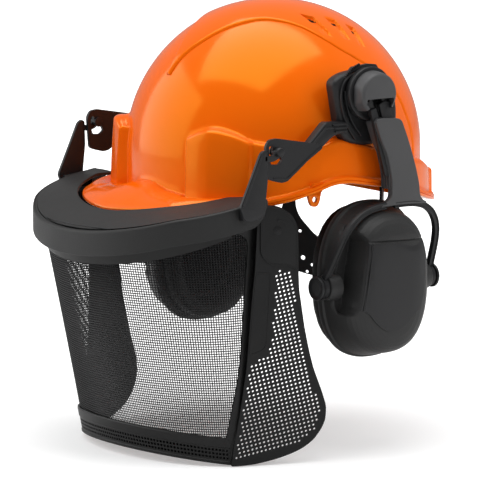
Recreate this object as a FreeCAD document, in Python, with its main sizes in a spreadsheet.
import FreeCAD, Part
import os
import re
import Sketcher
from FreeCAD import Placement, Rotation, Vector

# Hard hat with ear muffs and a mesh visor.
# Frame, in millimetres: +Z up, -Y is the way the wearer faces, +X is the wearer's left. The origin is the
# middle of the headband's lower edge, where the head sits.

DOC = FreeCAD.newDocument("hard_hat")
SHEET = DOC.addObject("Spreadsheet::Sheet", "Sizes")

SIZES = {
    # shell
    "wall": 2.5,
    "dome_half_width": 102,
    "dome_half_length": 117,
    "dome_rise": 112.6,
    "dome_middle_y": 5,
    "dome_waist_z": 28.4,
    "crest_step": 2,
    "belt_half_width": 110,
    "belt_half_length": 125,
    "belt_rise": 300,
    "belt_middle_z": -10,
    "lip_half_width": 114,
    "lip_half_length": 129,
    "lip_height": 5,
    "housing_half_gap": 50,
    "peak_half_width": 83,
    "peak_reach": 71,
    "peak_root_y": -80,
    # harness
    "band_half_width": 80,
    "band_half_length": 96,
    "band_thickness": 1.8,
    "band_foot_z": 10,
    "band_height": 30,
    "sweat_thickness": 3,
    "strap_width": 20,
    "strap_thickness": 1.2,
    "strap_top_z": 104,
    "strap_foot_z": 34,
    "nape_width": 30,
    "nape_low_z": -84,
    # slot adapter and swivel
    "adapter_inner_x": 97,
    "adapter_outer_x": 109.5,
    "swivel_y": 7,
    "swivel_z": 80,
    "hub_radius": 9,
    "ring_radius": 22,
    "ring_depth": 7,
    "cap_radius": 17,
    "cap_depth": 13,
    "running_gap": 0.05,
    "free_gap": 0.4,
    "arm_lean": 15.8,
    # arm, slider and yoke
    "hinge_x": 123,
    "hinge_pin_radius": 1.5,
    "knuckle_radius": 3.2,
    "strip_width": 19,
    "strip_thickness": 2.8,
    "strip_length": 62,
    "slider_top": 22,
    "slider_length": 52.5,
    "slider_top_width": 22,
    "slider_foot_width": 25,
    "slider_thickness": 8.5,
    "yoke_half_width": 52.5,
    "yoke_rise": 66,
    "yoke_band": 4,
    "yoke_thickness": 3,
    "yoke_top_x": 127.5,
    "stud_x": 114,
    "stud_z": -61.5,
    "stud_radius": 2.5,
    "stud_head_radius": 8.5,
    "eye_radius": 8,
    # ear cup
    "cup_middle_y": 14,
    "cup_middle_z": -60,
    "cup_half_width": 46,
    "cup_half_height": 59,
    "cup_inner_x": 104,
    "cup_outer_x": 140,
    "cup_round": 15,
    "panel_step": 1.6,
    "plate_thickness": 2.7,
    "cushion_inner_x": 84,
    "cushion_half_width": 25,
    "cushion_half_height": 36,
    "foam_thickness": 8,
    # visor
    "pivot_y": -79,
    "pivot_z": 43,
    "pivot_radius": 3,
    "holder_inner_x": 111.5,
    "holder_thickness": 2.5,
    "arm_inner_x": 114.4,
    "arm_thickness": 3,
    "brow_half_width": 110.5,
    "brow_reach": 85.4,
    "brow_root_y": -102.2,
    "brow_end_y": -84,
    "brow_inner_half_width": 85.2,
    "brow_inner_reach": 72,
    "brow_inner_root_y": -82.3,
    "brow_thickness": 2.5,
    "skirt_thickness": 2.2,
    "screen_thickness": 0.8,
    "surround_thickness": 2,
    "screen_edge_y": -101,
    "flap_thickness": 2,
}

# Side outlines, as (y, z) points.
RIM = [(-84, -3), (-50, 3), (-22, 13.5), (-8, 14), (12, 10.5), (42, 5.5), (84, -9), (140, -22)]
BELT_TOP = [(-125, 46), (-108, 47), (-101, 55), (-91, 55), (-76, 46), (-30, 42), (-13, 46.6), (19, 38),
            (79, 23), (104, 11), (140, 5)]
PEAK_TOP = [(-60, 2), (-97, 4), (-113, 12), (-156, -7.2)]
PEAK_THICKNESS = 3
ADAPTER = [(-27, 94), (-14, 101), (24, 101), (41, 88), (48, 62), (46, 48), (16, 48), (-14, 51), (-18, 61)]
HOLDER_PLATE = [(-81, 55), (-47, 50), (-38, 48), (-38, 45.5), (-51, 40), (-55, 39), (-70, 24), (-87, 27)]
HOLDER_ARM = [(-47, 50), (-28, 63.5), (-19, 62), (-19, 50.5), (-38, 48)]
VISOR_ARM = [(-110, -8), (-110, 8), (-86, 47), (-79, 51), (-72, 47), (-71.5, 39), (-92, 6), (-92, -8)]
BROW_TOP = [(-82, 8.8), (-102.2, 5.6), (-154, -4.5), (-190, -17.5)]
SKIRT_DROP = 19
SCREEN_OUTLINE = [(-101, -4), (-195, -34), (-195, -176), (-140, -185), (-101, -191)]
WINDOW_OUTLINE = [(-112, -16), (-196, -43), (-196, -157), (-142, -165), (-112, -170)]
FLAP = [(-100.6, -6), (-88, -4), (-87, -12), (-83.2, -12), (-83.2, 0), (-70, 5), (-58, -6), (-59, -39),
        (-55, -83), (-46, -120), (-38, -147), (-43, -168), (-60, -178), (-100.6, -190)]
FLAP_PLATE = [(-100, -9), (-92, -8), (-91.5, -13), (-83, -13), (-83, -3), (-71, 2), (-60, -8), (-61, -40),
              (-76, -50), (-92, -50), (-100, -42)]
FLAP_CLIPS = [(-79.3, -8), (-70, -24)]
CUP_PANEL = [(-12, -21), (39, -25), (38, -70), (20, -78), (4, -88), (-6, -86), (-12, -72), (-20, -63)]
# Left edge of the raised crown panel in plan, as (x, y) points from its front end rearwards.
CREST_EDGE = [(3, -87), (6, -81), (12, -72), (20, -55), (33, -30), (52, -9), (72, 13), (79, 40), (81, 58),
              (81, 130)]
NAPE_SIDE = [(54, 17), (71, 17), (66, -16), (69, -34), (83, -54), (125, -54), (125, -84), (80, -84),
             (69, -79), (50, -68), (48, -48), (56, -16)]

# Plan of the screen at two heights: z, half width, reach forward of its middle, y of that middle.
SCREEN_HIGH = (0, 100.4, 86.6, -101.6)
SCREEN_LOW = (-192, 92.8, 50.9, -87.6)
# The flap is flat: a point on its inner face and the direction it faces.
FLAP_POINT = Vector(98, -104, -40)
FLAP_NORMAL = Vector(0.934, -0.356, -0.035)
# Middles of the three vents on the left of the crown, with the tilt of the shell there in degrees.
VENTS = [(52, 8, 127.2, 33), (55, 27, 122.8, 36), (59, 40, 116.2, 40)]
VENT_SIZE = (21, 9, 5)
VENT_HOLE = (4, 7, 12)
# Tab inside the rim that a chin strap hooks on to.
LUG = {"y": -33, "hole_z": 2.5, "foot_z": -4.2, "hole_radius": 2.2, "half_width": 6, "thickness": 2.5,
       "outer_x": 101}

ACROSS = 300
PIECES = []


def fill_sheet():
    for row, (word, value) in enumerate(SIZES.items(), start=1):
        SHEET.set(f"A{row}", word)
        SHEET.set(f"B{row}", str(value))
        SHEET.setAlias(f"B{row}", word)
    DOC.recompute()


def formula(text):
    """Text over the sheet's words, as an expression that other objects can hold."""
    return re.sub(r"[a-z][a-z_]+", lambda found: "Sizes." + found.group(), text)


def number(value):
    """A plain number, or the present value of some text over the sheet's words."""
    if isinstance(value, str):
        return float(SHEET.evalExpression(formula(value)))
    return float(value)


def bind(thing, **sizes):
    """Set properties: text is bound to the sheet as an expression, a number is set as it is."""
    for name, value in sizes.items():
        path = name.replace("__", ".")
        if isinstance(value, str):
            thing.setExpression(path, formula(value))
        elif "." in path:
            thing.setExpression(path, repr(float(value)))
        else:
            setattr(thing, path, value)
    return thing


def new(kind, name, **sizes):
    return bind(DOC.addObject(kind, name), **sizes)


def place(thing, x=0, y=0, z=0, axis=None, angle=0):
    if axis is not None:
        thing.Placement = Placement(Vector(0, 0, 0), Rotation(Vector(*axis), angle))
    return bind(thing, Placement__Base__x=x, Placement__Base__y=y, Placement__Base__z=z)


def box(name, x, y, z):
    """A box between two limits, each a pair, along every axis."""
    block = new("Part::Box", name)
    for side, (low, high) in (("Length", x), ("Width", y), ("Height", z)):
        bind(block, **{side: f"({high}) - ({low})"})
    return place(block, x[0], y[0], z[0])


def cylinder_x(name, radius, x, y, z):
    """A cylinder along X between the two limits in x."""
    rod = new("Part::Cylinder", name, Radius=radius, Height=f"({x[1]}) - ({x[0]})")
    return place(rod, x[0], y, z, (0, 1, 0), 90)


def cylinder_y(name, radius, x, y, z):
    """A cylinder along Y between the two limits in y."""
    rod = new("Part::Cylinder", name, Radius=radius, Height=f"({y[1]}) - ({y[0]})")
    return place(rod, x, y[0], z, (1, 0, 0), -90)


def half_ellipsoid(name, half_width, half_length, rise, z="dome_waist_z"):
    cap = new("Part::Ellipsoid", name, Radius1=rise, Radius2=half_width, Radius3=half_length, Angle1=0,
              Angle2=90)
    return place(cap, 0, "dome_middle_y", z)


def ellipsoid(name, half_width, half_length, rise, z):
    whole = new("Part::Ellipsoid", name, Radius1=rise, Radius2=half_width, Radius3=half_length)
    return place(whole, 0, "dome_middle_y", z)


def oval_column(name, half_width, half_length, middle_y, z):
    """An upright column with an oval plan. The longer half size lies along X where that is half_width."""
    wide = number(half_width) > number(half_length)
    major, minor = (half_width, half_length) if wide else (half_length, half_width)
    plan = new("Part::Ellipse", name + "_plan", MajorRadius=major, MinorRadius=minor)
    place(plan, 0, middle_y, z[0], (0, 0, 1), 0 if wide else 90)
    return extruded(name, plan, (0, 0, 1), f"({z[1]}) - ({z[0]})")


def oval_block_x(name, half_width, half_height, x):
    """A block along X with an oval outline, centred on the left ear cup."""
    outline = new("Part::Ellipse", name + "_outline", MajorRadius=half_height, MinorRadius=half_width)
    place(outline, x[0], "cup_middle_y", "cup_middle_z", (0, 1, 0), -90)
    return extruded(name, outline, (1, 0, 0), f"({x[1]}) - ({x[0]})")


def extruded(name, base, direction, length, symmetric=False):
    solid = new("Part::Extrusion", name, Base=base, Dir=Vector(*direction), Solid=True, Symmetric=symmetric)
    solid.DirMode = "Custom"
    return bind(solid, LengthFwd=length)


def outline_sketch(name, points):
    """A closed outline, fully constrained."""
    sketch = new("Sketcher::SketchObject", name)
    corners = [Vector(number(y), number(z), 0) for y, z in points]
    count = len(corners)
    for index, corner in enumerate(corners):
        sketch.addGeometry(Part.LineSegment(corner, corners[(index + 1) % count]), False)
    for index in range(count):
        sketch.addConstraint(Sketcher.Constraint("Coincident", index, 2, (index + 1) % count, 1))
    for index, pair in enumerate(points):
        for kind, value in zip(("DistanceX", "DistanceY"), pair):
            place_of = sketch.addConstraint(Sketcher.Constraint(kind, -1, 1, index, 1, number(value)))
            if isinstance(value, str):
                sketch.setExpression(f"Constraints[{place_of}]", formula(value))
    return sketch


def side_sketch(name, points, x=0):
    """A closed outline in the plane of Y and Z."""
    return place(outline_sketch(name, points), x, 0, 0, (1, 1, 1), 120)


def side_block(name, points, x):
    """The outline in Y and Z, extruded along X between two limits."""
    return extruded(name, side_sketch(name + "_outline", points, x[0]), (1, 0, 0), f"({x[1]}) - ({x[0]})")


def cross_block(name, points):
    """The outline in Y and Z, extruded along X right across the object."""
    return extruded(name, side_sketch(name + "_outline", points), (1, 0, 0), ACROSS, symmetric=True)


def plan_block(name, points, z):
    """An outline in X and Y, extruded upwards between two limits."""
    return extruded(name, place(outline_sketch(name + "_outline", points), 0, 0, z[0]), (0, 0, 1),
                    f"({z[1]}) - ({z[0]})")


def cut(name, base, *tools):
    """The base without the tools."""
    tool = tools[0] if len(tools) == 1 else fuse(name + "_tools", *tools)
    return new("Part::Cut", name, Base=base, Tool=tool)


def fuse(name, *parts):
    return new("Part::MultiFuse", name, Shapes=list(parts))


def common(name, *parts):
    return new("Part::MultiCommon", name, Shapes=list(parts))


def rounded(name, base, radius, at_x):
    """The base with the edges that lie in the plane at_x rounded."""
    DOC.recompute()
    plane = number(at_x)
    edges = [index for index, edge in enumerate(base.Shape.Edges, start=1)
             if all(abs(point.x - plane) < 1e-6 for point in edge.discretize(5))]
    smooth = new("Part::Fillet", name, Base=base)
    smooth.Edges = [(index, number(radius), number(radius)) for index in edges]
    return smooth


def mirrored(name, source):
    """The same thing on the wearer's right."""
    return new("Part::Mirroring", name, Source=source, Base=Vector(0, 0, 0), Normal=Vector(1, 0, 0))


def piece(node, thing):
    """A finished sub-part: its label is its node's name."""
    thing.Label = node
    PIECES.append(thing)
    return thing


def pair(node, thing):
    """A finished sub-part on the left, and its mirror image on the right."""
    piece(node + "_left", thing)
    piece(node + "_right", mirrored(node + "_mirrored", thing))


def shifted(points, up):
    return [(y, z + up) for y, z in points]


def band(top, bottom):
    """A closed outline from a top line and a bottom line that both run rearwards."""
    return list(top) + list(reversed(bottom))


def leaned(thing):
    """Lean a piece that was built upright on the swivel's axis to the angle of the ear muff's arm."""
    DOC.recompute()
    middle = Vector(0, number("swivel_y"), number("swivel_z"))
    lean = Placement(Vector(0, 0, 0), Rotation(Vector(1, 0, 0), number("arm_lean")), middle)
    for side in "xyz":
        thing.setExpression(f"Placement.Base.{side}", None)
    thing.Placement = lean.multiply(thing.Placement)
    return thing


# ---- shell ----

def bowl(name, less, belt_band):
    """The dome and its belt as one solid, smaller all round by some wall thickness."""
    low = -60
    crown = half_ellipsoid(name + "_crown", f"dome_half_width - {less}", f"dome_half_length - {less}",
                           f"dome_rise - {less}")
    sides = oval_column(name + "_sides", f"dome_half_width - {less}", f"dome_half_length - {less}",
                        "dome_middle_y", (low, "dome_waist_z"))
    belt = ellipsoid(name + "_belt", f"belt_half_width - {less}", f"belt_half_length - {less}", "belt_rise",
                     "belt_middle_z")
    limits = cross_block(name + "_belt_limits", belt_band)
    gap = box(name + "_gap", (f"-housing_half_gap - {less}", f"housing_half_gap + {less}"), (-140, -70),
              (-40, 80))
    return fuse(name, crown, sides, cut(name + "_belt_zone", common(name + "_belt_cut", belt, limits), gap))


def vent(index, x, y, z, tilt):
    """A shallow slanted recess with a hole through its upper end."""
    length, width, depth = VENT_SIZE
    hole_length, hole_width, hole_depth = VENT_HOLE
    turn = Rotation(Vector(0, 1, 0), tilt)
    recess = new("Part::Box", f"vent_{index}_recess", Length=length, Width=width, Height=depth)
    recess.Placement = Placement(Vector(x, y, z) - turn.multVec(Vector(length / 2, width / 2, 2)), turn)
    hole = new("Part::Box", f"vent_{index}_hole", Length=hole_length, Width=hole_width, Height=hole_depth)
    hole.Placement = Placement(Vector(x, y, z) - turn.multVec(Vector(length / 2 - 1, hole_width / 2, 8)),
                               turn)
    return [recess, hole]


def helmet_shell():
    below = [(140, -60), (-140, -60), (-140, -12), (-84, -12)]
    outer = bowl("outer", 0, band(BELT_TOP, [(-125, -12), (-84, -12)] + shifted(RIM[1:], -3)))
    inner = bowl("inner", number("wall"), band(shifted(BELT_TOP, -2.5), [(-125, -55), (140, -55)]))
    crest_plan = CREST_EDGE + [(-x, y) for x, y in reversed(CREST_EDGE)]
    crest = common("crest", half_ellipsoid("crest_dome", "dome_half_width + crest_step",
                                           "dome_half_length + crest_step", "dome_rise + crest_step"),
                   plan_block("crest_limits", crest_plan, ("dome_waist_z", 150)))
    peak_limits = cross_block("peak_limits", band(list(reversed(PEAK_TOP)),
                                                  list(reversed(shifted(PEAK_TOP, -PEAK_THICKNESS)))))
    peak = common("peak", peak_limits, oval_column("peak_plan", "peak_half_width", "peak_reach",
                                                   "peak_root_y", (-40, 40)))
    lip_line = RIM[1:]
    lip_limits = cross_block("lip_limits", band(shifted(lip_line, number("lip_height")), lip_line))
    lip = common("lip", oval_column("lip_plan", "lip_half_width", "lip_half_length", "dome_middle_y",
                                    (-60, 60)),
                 lip_limits)
    under_rim = cross_block("under_rim", RIM[1:] + below)
    skin = cut("skin", fuse("skin_outer", outer, crest, peak, lip), inner, under_rim)
    slot = box("socket", (102.1, 105.9), (-6.4, 16.4), (20, 60))
    openings = [slot, mirrored("socket_right", slot)]
    for index, place_and_tilt in enumerate(VENTS):
        for tool in vent(index, *place_and_tilt):
            openings += [tool, mirrored(tool.Name + "_right", tool)]
    piece("helmet_shell", cut("open_skin", skin, *openings))
    return skin


def chin_lug(skin):
    """A tab that hangs inside the rim and meets the shell's wall through a short web."""
    outline = [(LUG["y"] - LUG["half_width"], 24), (LUG["y"] + LUG["half_width"], 24),
               (LUG["y"] + 5, LUG["foot_z"]), (LUG["y"] - 5, LUG["foot_z"])]
    tab = side_block("lug_tab", outline, (LUG["outer_x"] - LUG["thickness"], LUG["outer_x"]))
    web = box("lug_web", (LUG["outer_x"] - 1, LUG["outer_x"] + 1.6), (LUG["y"] - 4, LUG["y"] + 4), (12, 22))
    hole = cylinder_x("lug_hole", LUG["hole_radius"], (LUG["outer_x"] - 6, LUG["outer_x"] + 4), LUG["y"],
                      LUG["hole_z"])
    pair("chin_lug", cut("lug", fuse("lug_body", tab, web), skin, hole))


# ---- harness ----

def oval_ring(name, half_width, half_length, thickness, z):
    outer = oval_column(name + "_outer", f"{half_width} + {thickness}", f"{half_length} + {thickness}", 0, z)
    inner = oval_column(name + "_inner", half_width, half_length, 0, z)
    return cut(name, outer, inner)


def headband():
    piece("headband", oval_ring("band_ring", "band_half_width", "band_half_length", "band_thickness",
                                ("band_foot_z", "band_height")))


def sweatband():
    ring = oval_ring("sweat_ring", "band_half_width - sweat_thickness", "band_half_length - sweat_thickness",
                     "sweat_thickness", ("band_foot_z + 1", "band_height - 1"))
    piece("sweatband", common("sweat_front", ring, box("sweat_limits", (-100, 100), (-100, -30), (0, 40))))


def crown_strap(name, half_span, middle, across, top):
    """An arch of webbing over the head, in the plane across or along the helmet."""
    rise = f"{top} - strap_foot_z"
    arcs = []
    for part, less in (("outer", "0"), ("inner", "strap_thickness")):
        wide = new("Part::Ellipse", f"{name}_{part}_arc", MajorRadius=f"{half_span} - {less}",
                   MinorRadius=f"{rise} - {less}")
        turn = Rotation(Vector(1, 0, 0), 90)
        if not across:
            turn = Rotation(Vector(0, 0, 1), 90).multiply(turn)
        wide.Placement = Placement(Vector(0, 0, 0), turn)
        start = {"x": 0, "y": "-strap_width / 2 + 2"} if across else {"x": "-strap_width / 2", "y": middle}
        place(wide, start["x"], start["y"], "strap_foot_z")
        arcs.append(extruded(f"{name}_{part}", wide, (0, 1, 0) if across else (1, 0, 0), "strap_width"))
    above = box(f"{name}_above", (-120, 120), (-125, 125), ("strap_foot_z", 130))
    return common(name, cut(f"{name}_ring", *arcs), above)


def crown_straps():
    piece("crown_strap_across", crown_strap("strap_across", 93, 0, True, "strap_top_z"))
    piece("crown_strap_along", crown_strap("strap_along", 106, 5, False,
                                           "strap_top_z - strap_thickness - 0.6"))


def strap_clips():
    """Four plastic clips inside the shell that hold the feet of the crown straps and the headband's tabs."""
    side = box("clip_left", (82.4, 97.8), (-10, 14), ("strap_foot_z - 13", "strap_foot_z - 0.2"))
    front = box("clip_front", (-12, 12), (-107.5, -98.2), ("strap_foot_z - 13", "strap_foot_z - 0.2"))
    rear = box("clip_rear", (-12, 12), (98.2, 117.5), ("strap_foot_z - 13", "strap_foot_z - 0.2"))
    piece("strap_clips", fuse("clips", side, mirrored("clip_right", side), front, rear))


def nape_straps():
    """Two moulded straps that leave the headband by the ears and meet low behind the head."""
    ring = oval_ring("nape_ring", "band_half_width - 2.2", "band_half_length - 2.2", 2, (-90, 20))
    limits = cross_block("nape_limits", NAPE_SIDE)
    strap = common("nape_both", ring, limits)
    for side, x in (("left", (0.2, 130)), ("right", (-130, -0.2))):
        half = common(f"nape_{side}", strap, box(f"nape_{side}_limits", x, (-20, 130), (-90, 20)))
        holes = [cylinder_y(f"nape_{side}_hole_{step}", 1.8, (1 if side == "left" else -1) * (14 + 9 * step),
                            (60, 130), -69) for step in range(5)]
        piece(f"nape_strap_{side}", cut(f"nape_{side}_drilled", half, *holes))
    bridge = common("stud_bridge", oval_ring("bridge_ring", "band_half_width - 0.1",
                                             "band_half_length - 0.1", 2, (-82, -56)),
                    box("bridge_limits", (-20, 20), (60, 130), (-82, -56)))
    pegs = [cylinder_y(f"nape_peg_{side}", 1.75, side * 14, (89.5, 97), -69) for side in (-1, 1)]
    piece("nape_buckle", fuse("nape_buckle_solid", bridge, *pegs))


# ---- slot adapters and visor holders ----

def slot_adapter():
    block = side_block("adapter_block", ADAPTER, ("adapter_inner_x - 20", "adapter_outer_x"))
    dome = half_ellipsoid("adapter_dome", "dome_half_width + 0.5", "dome_half_length + 0.5",
                          "dome_rise + 0.5")
    foot = box("adapter_foot", (102.5, 105.5), (-6, 16), (24, 50))
    bore = cylinder_x("adapter_bore", "hub_radius", (101, 120), "swivel_y", "swivel_z")
    tongue_room = box("tongue_room", (102.6, 106.4), (-40, 7), (51.6, 60.9))
    pair("slot_adapter", cut("adapter", fuse("adapter_solid", cut("adapter_hugging", block, dome), foot),
                             bore, tongue_room))


def visor_holder():
    plate = side_block("holder_plate", HOLDER_PLATE, ("holder_inner_x", "holder_inner_x + holder_thickness"))
    arm = side_block("holder_arm", HOLDER_ARM, (103, "holder_inner_x + holder_thickness"))
    tongue = box("holder_tongue", (103, 106), (-22, 6), (52, 60.5))
    hole = cylinder_x("holder_hole", "pivot_radius + running_gap", (100, 130), "pivot_y", "pivot_z")
    hook_slot = box("holder_slot", (100, 130), (-58, -50), (43.5, 46))
    pair("visor_holder", cut("holder", fuse("holder_solid", plate, arm, tongue), hole, hook_slot))


# ---- visor ----

def brow_column(name, more, z):
    """A column with the plan of the brow guard's outer edge, moved out all round by some distance."""
    front = oval_column(name + "_front", f"brow_half_width + {more}", f"brow_reach + {more}", "brow_root_y",
                        z)
    rear = box(name + "_rear", (f"-brow_half_width - {more}", f"brow_half_width + {more}"),
               ("brow_root_y", -60), z)
    only_front = common(name + "_half", front, box(name + "_half_limits", (-150, 150),
                                                   (-220, "brow_root_y"), z))
    return fuse(name, only_front, rear)


def brow_guard():
    tall = (-60, 40)
    plan = brow_column("brow_plan", 0, tall)
    hollow = fuse("brow_hollow", oval_column("brow_hollow_front", "brow_inner_half_width",
                                             "brow_inner_reach", "brow_inner_root_y", tall),
                  box("brow_hollow_rear", ("-brow_inner_half_width", "brow_inner_half_width"),
                      ("brow_inner_root_y", -40), tall))
    top = list(reversed(BROW_TOP))
    plate_limits = cross_block("brow_plate_limits", band(top, shifted(top, -number("brow_thickness"))))
    skirt_limits = cross_block("brow_skirt_limits", band(top, shifted(top, -SKIRT_DROP)))
    front_only = box("brow_front_only", (-150, 150), (-220, "brow_end_y"), tall)
    plate = common("brow_plate", cut("brow_ring", plan, hollow), plate_limits)
    skirt = common("brow_skirt", cut("brow_rim", plan, brow_column("brow_inside", "-skirt_thickness", tall)),
                   skirt_limits)
    piece("brow_guard", common("brow", fuse("brow_solid", plate, skirt), front_only))


def visor_arm():
    arm = side_block("visor_arm_solid", VISOR_ARM, ("arm_inner_x", "arm_inner_x + arm_thickness"))
    foot = box("visor_arm_foot", ("brow_half_width", "arm_inner_x + arm_thickness"), (-110, -92), (-8, 4))
    eye = cylinder_x("visor_arm_eye", "pivot_radius", (100, 130), "pivot_y", "pivot_z")
    clear_of_brow = brow_column("arm_clearance", 0, (-60, 40))
    pair("visor_arm", cut("visor_arm_cut", fuse("visor_arm_whole", arm, foot), eye, clear_of_brow))


def pivot_pins():
    """A pin on each side: a round head, a shaft through arm and holder, and a snap head inside."""
    shaft = cylinder_x("pin_shaft", "pivot_radius", (110, 119), "pivot_y", "pivot_z")
    head = cylinder_x("pin_head", "pivot_radius + 1.8", ("arm_inner_x + arm_thickness", 120.4), "pivot_y",
                      "pivot_z")
    snap = cylinder_x("pin_snap", "pivot_radius + 0.8", (109.6, "holder_inner_x - 0.3"), "pivot_y",
                      "pivot_z")
    pin = fuse("pin_left", shaft, head, snap)
    piece("pivot_pins", fuse("pins", pin, mirrored("pin_right", pin)))


def screen_loft(name, out):
    """The screen's outer face as a tapering oval column, moved out by some distance."""
    plans = []
    for level, (z, half_width, reach, middle_y) in (("high", SCREEN_HIGH), ("low", SCREEN_LOW)):
        plan = new("Part::Ellipse", f"{name}_{level}", MajorRadius=half_width + out, MinorRadius=reach + out)
        plans.append(place(plan, 0, middle_y, z))
    return new("Part::Loft", name, Sections=plans, Solid=True, Ruled=True)


def visor_screen():
    outline = cross_block("screen_limits", SCREEN_OUTLINE)
    sheet = cut("screen_sheet", screen_loft("screen_face", 0),
                screen_loft("screen_back", -number("screen_thickness")))
    piece("mesh_screen", common("screen", sheet, outline))


def visor_surround():
    outline = cross_block("surround_limits", SCREEN_OUTLINE)
    window = cross_block("surround_window", WINDOW_OUTLINE)
    hoop = cut("surround_hoop", screen_loft("surround_face", number("surround_thickness")),
               screen_loft("surround_back", 0), window)
    piece("visor_surround", common("surround", hoop, outline))


def flat_on_flap(name, outline, inner, outer):
    """An outline in Y and Z projected along X onto the flap's plane, between two distances from it."""
    slab = new("Part::Box", name + "_slab", Length=400, Width=400, Height=outer - inner)
    turn = Rotation(Vector(0, 0, 1), FLAP_NORMAL)
    slab.Placement = Placement(FLAP_POINT + turn.multVec(Vector(-200, -200, inner)), turn)
    return common(name, slab, side_block(name + "_side", outline, (60, 170)))


def side_flap():
    thickness = number("flap_thickness")
    pair("side_flap", flat_on_flap("flap", FLAP, 0, thickness))
    plate = flat_on_flap("flap_plate", FLAP_PLATE, thickness, thickness + 1.2)
    pair("flap_plate", plate)
    clips = []
    turn = Rotation(Vector(0, 0, 1), FLAP_NORMAL)
    for index, (y, z) in enumerate(FLAP_CLIPS):
        fall = (y - FLAP_POINT.y) * FLAP_NORMAL.y + (z - FLAP_POINT.z) * FLAP_NORMAL.z
        x = FLAP_POINT.x - fall / FLAP_NORMAL.x
        clip = new("Part::Cylinder", f"flap_clip_{index}", Radius=3, Height=1.5)
        clip.Placement = Placement(Vector(x, y, z) + turn.multVec(Vector(0, 0, thickness + 1.2)), turn)
        clips += [clip, mirrored(f"flap_clip_{index}_right", clip)]
    piece("flap_clips", fuse("flap_clips_all", *clips))


# ---- ear muffs ----

def swivel():
    """The ring turns in the adapter's bore on a hub, and the cap in it holds the hinge of the arm."""
    outer_x = "adapter_outer_x + 0.5"
    ring = cylinder_x("ring_disc", "ring_radius", (outer_x, f"{outer_x} + ring_depth"), "swivel_y",
                      "swivel_z")
    hub = cylinder_x("ring_hub", "hub_radius - running_gap", (101.4, outer_x), "swivel_y", "swivel_z")
    seat = cylinder_x("ring_seat", "cap_radius", (f"{outer_x} + 3", 130), "swivel_y", "swivel_z")
    pair("swivel_ring", leaned(cut("ring", fuse("ring_solid", ring, hub), seat)))
    body = cylinder_x("cap_body", "cap_radius", (f"{outer_x} + 3", f"{outer_x} + 3 + cap_depth + 2"),
                      "swivel_y", "swivel_z")
    smooth = rounded("cap_rounded", body, 5, f"{outer_x} + 3 + cap_depth + 2")
    room = box("cap_window", ("hinge_x - 4", 140), ("swivel_y - strip_width / 2 - free_gap",
                                                    "swivel_y + strip_width / 2 + free_gap"),
               ("swivel_z - 30", "swivel_z + knuckle_radius + free_gap"))
    pin_hole = cylinder_y("cap_pin_hole", "hinge_pin_radius", "hinge_x",
                          ("swivel_y - 12.5", "swivel_y + 12.5"), "swivel_z")
    pair("swivel_cap", leaned(cut("cap", smooth, room, pin_hole)))
    pin = cylinder_y("hinge_pin_rod", "hinge_pin_radius", "hinge_x", ("swivel_y - 12.3", "swivel_y + 12.3"),
                     "swivel_z")
    pair("hinge_pin", leaned(pin))


def muff_arm():
    edges = ("swivel_y - strip_width / 2", "swivel_y + strip_width / 2")
    strip = box("strip", ("hinge_x - strip_thickness / 2", "hinge_x + strip_thickness / 2"), edges,
                ("swivel_z - strip_length", "swivel_z"))
    barrel = cylinder_y("barrel", "knuckle_radius", "hinge_x", edges, "swivel_z")
    bore = cylinder_y("barrel_bore", "hinge_pin_radius + running_gap", "hinge_x",
                      ("swivel_y - 20", "swivel_y + 20"), "swivel_z")
    spring_room = box("spring_room", ("hinge_x - 5", "hinge_x + 5"), ("swivel_y - 4", "swivel_y + 4"),
                      ("swivel_z - 5", "swivel_z + 5"))
    pair("muff_arm", leaned(cut("arm_cut", fuse("arm_solid", strip, barrel), bore, spring_room)))
    coils = cylinder_y("spring_coils", "knuckle_radius - 0.4", "hinge_x",
                       ("swivel_y - 3.5", "swivel_y + 3.5"), "swivel_z")
    middle = cylinder_y("spring_middle", "hinge_pin_radius + 0.2", "hinge_x",
                        ("swivel_y - 6", "swivel_y + 6"), "swivel_z")
    pair("tilt_spring", leaned(cut("spring", coils, middle)))


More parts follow.
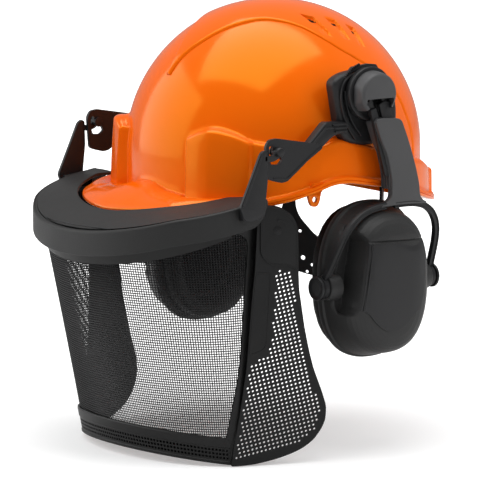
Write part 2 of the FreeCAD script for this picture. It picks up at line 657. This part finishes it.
def slider_and_yoke():
    """The slider runs on the arm's strip, and the yoke below it reaches round the cup to the two studs."""
    top, foot = "swivel_z - slider_top", "swivel_z - slider_top - slider_length"
    outline = [("swivel_y - slider_top_width / 2", top), ("swivel_y + slider_top_width / 2", top),
               ("swivel_y + slider_foot_width / 2", foot), ("swivel_y - slider_foot_width / 2", foot)]
    block = side_block("slider_block", outline, ("hinge_x - slider_thickness / 2 + 0.5",
                                                 "hinge_x + slider_thickness / 2 + 0.5"))
    channel = box("slider_channel", ("hinge_x - strip_thickness / 2 - free_gap",
                                     "hinge_x + strip_thickness / 2 + free_gap"),
                  ("swivel_y - strip_width / 2 - free_gap", "swivel_y + strip_width / 2 + free_gap"),
                  ("swivel_z - strip_length - 2", "swivel_z"))
    stem_room, stem = (box(name, ("yoke_top_x - yoke_thickness", "yoke_top_x"),
                           ("swivel_y - 7", "swivel_y + 7"),
                           (foot + " - 4", foot + " + 8")) for name in ("yoke_stem_room", "yoke_stem"))
    pair("muff_slider", leaned(cut("slider", block, channel, stem_room)))
    arch = arch_ring("yoke_arch", "yoke_half_width", "yoke_rise")
    slant = yoke_slant()
    upper = box("yoke_upper", (90, 150), (-60, 90), ("stud_z", 20))
    half = "yoke_half_width - yoke_band / 2"
    eyes = []
    holes = []
    for name, sign in (("front", "-"), ("rear", "+")):
        middle = f"cup_middle_y {sign} ({half})"
        eyes.append(cylinder_y(f"yoke_eye_{name}", "eye_radius", "stud_x",
                               (f"{middle} - 2", f"{middle} + 2"), "stud_z"))
        holes.append(cylinder_y(f"yoke_hole_{name}", "stud_radius + running_gap", "stud_x",
                                (f"{middle} - 9", f"{middle} + 9"), "stud_z"))
    inside = oval_block_x("yoke_inside", "yoke_half_width - yoke_band", "cup_half_height + 3", (90, 150))
    solid = fuse("yoke_solid", common("yoke_band_cut", arch, slant, upper),
                 cut("yoke_stem_cut", leaned(stem), inside), *eyes)
    pair("muff_yoke", cut("yoke", solid, *holes))


def arch_ring(name, half_width, rise):
    """An oval ring round the cup, centred on the stud axis."""
    rings = []
    for part, less in (("outer", "0"), ("inner", "yoke_band")):
        ring = new("Part::Ellipse", f"{name}_{part}_edge", MajorRadius=f"{rise} - {less}",
                   MinorRadius=f"{half_width} - {less}")
        place(ring, 90, "cup_middle_y", "stud_z", (0, 1, 0), -90)
        rings.append(extruded(f"{name}_{part}", ring, (1, 0, 0), 60))
    return cut(name, *rings)


def yoke_slant():
    """A slab that leans out from the studs to the foot of the slider."""
    low_x, high_x = number("stud_x"), number("yoke_top_x")
    low_z, high_z = number("stud_z"), number("stud_z + yoke_rise")
    thickness = number("yoke_thickness")
    corners = [(low_x - thickness / 2, low_z - 20), (low_x + thickness / 2, low_z - 20),
               (low_x + thickness / 2, low_z), (high_x, high_z - 8), (high_x, high_z + 10),
               (high_x - thickness, high_z + 10), (high_x - thickness, high_z - 8),
               (low_x - thickness / 2, low_z)]
    wire = Part.makePolygon([Vector(x, -60, z) for x, z in corners + corners[:1]])
    slab = new("Part::Feature", "yoke_slab")
    slab.Shape = Part.Face(wire).extrude(Vector(0, 150, 0))
    return slab


def cup_form(name, less, x, radius):
    """The cup's outer form, smaller all round by some thickness, with its outer edge rounded."""
    block = oval_block_x(name + "_block", f"cup_half_width - ({less})", f"cup_half_height - ({less})", x)
    return rounded(name, block, radius, x[1])


def ear_cup():
    outer = cup_form("cup_outer", "0", ("cup_inner_x", "cup_outer_x"), "cup_round")
    hollow = cup_form("cup_hollow", "wall", ("cup_inner_x - 1", "cup_outer_x - wall"), "cup_round - wall")
    stud_holes = cylinder_y("cup_stud_holes", "stud_radius", "stud_x", (-60, 90), "stud_z")
    pair("cup_shell", cut("cup", outer, hollow, stud_holes))
    over = cup_form("panel_over", "-panel_step", ("cup_inner_x + 10", "cup_outer_x + panel_step"),
                    "cup_round")
    under = cup_form("panel_under", "0", ("cup_inner_x", "cup_outer_x"), "cup_round")
    pair("cup_panel",
         cut("panel", common("panel_zone", over, side_block("panel_side", CUP_PANEL, (120, 160))),
                          under))
    plate_x = ("cup_inner_x - plate_thickness", "cup_inner_x")
    pair("cup_back_plate", cut("back_plate", oval_block_x("plate_outer", "cup_half_width", "cup_half_height",
                                                          plate_x),
                               oval_block_x("plate_opening", "cushion_half_width + 1",
                                            "cushion_half_height + 1", plate_x)))
    cushion_x = ("cushion_inner_x", "cup_inner_x - plate_thickness")
    pad = rounded("cushion_rounded", oval_block_x("cushion_outer", "cup_half_width - 1.5",
                                                  "cup_half_height - 2.5", cushion_x), 7, "cushion_inner_x")
    pair("ear_cushion", cut("cushion", pad, oval_block_x("cushion_opening", "cushion_half_width",
                                                         "cushion_half_height", cushion_x)))
    pair("cup_foam", oval_block_x("foam", "cup_half_width - wall - 1", "cup_half_height - wall - 1",
                                  ("cup_outer_x - 14 - foam_thickness", "cup_outer_x - 14")))


def cup_studs():
    """Two studs per cup: a head outside the yoke's eye and a shaft through it into the cup's wall."""
    parts = []
    reach = "yoke_half_width - yoke_band / 2"
    for name, sign in (("front", -1), ("rear", 1)):
        word = "-" if sign < 0 else "+"
        head = [f"cup_middle_y {word} ({reach} + 2.3)", f"cup_middle_y {word} ({reach} + 6)"]
        shaft = [f"cup_middle_y {word} (cup_half_width - wall - 2)", f"cup_middle_y {word} ({reach} + 4)"]
        if sign < 0:
            head.reverse()
            shaft.reverse()
        parts.append(fuse(f"stud_{name}",
                          cylinder_y(f"stud_head_{name}", "stud_head_radius", "stud_x", head, "stud_z"),
                          cylinder_y(f"stud_shaft_{name}", "stud_radius", "stud_x", shaft, "stud_z")))
    pair("cup_studs", fuse("studs", *parts))


def check_and_export():
    DOC.recompute()
    failed = [thing.Name for thing in DOC.Objects if {"Invalid", "Error"} & set(thing.State)]
    if failed:
        raise SystemExit("failed objects: " + ", ".join(failed))
    for thing in PIECES:
        shape = thing.Shape
        if shape.isNull() or not shape.isValid() or shape.Volume <= 0:
            raise SystemExit("bad shape: " + thing.Label)
    os.makedirs("parts", exist_ok=True)
    for thing in PIECES:
        thing.Shape.exportStep(f"parts/{thing.Label}.step")
        print(f"{thing.Label}: {len(thing.Shape.Solids)} solids, {thing.Shape.Volume / 1000:.2f} cm3")


fill_sheet()
chin_lug(helmet_shell())
headband()
sweatband()
crown_straps()
strap_clips()
nape_straps()
slot_adapter()
visor_holder()
brow_guard()
visor_arm()
pivot_pins()
visor_screen()
visor_surround()
side_flap()
swivel()
muff_arm()
slider_and_yoke()
ear_cup()
cup_studs()
check_and_export()
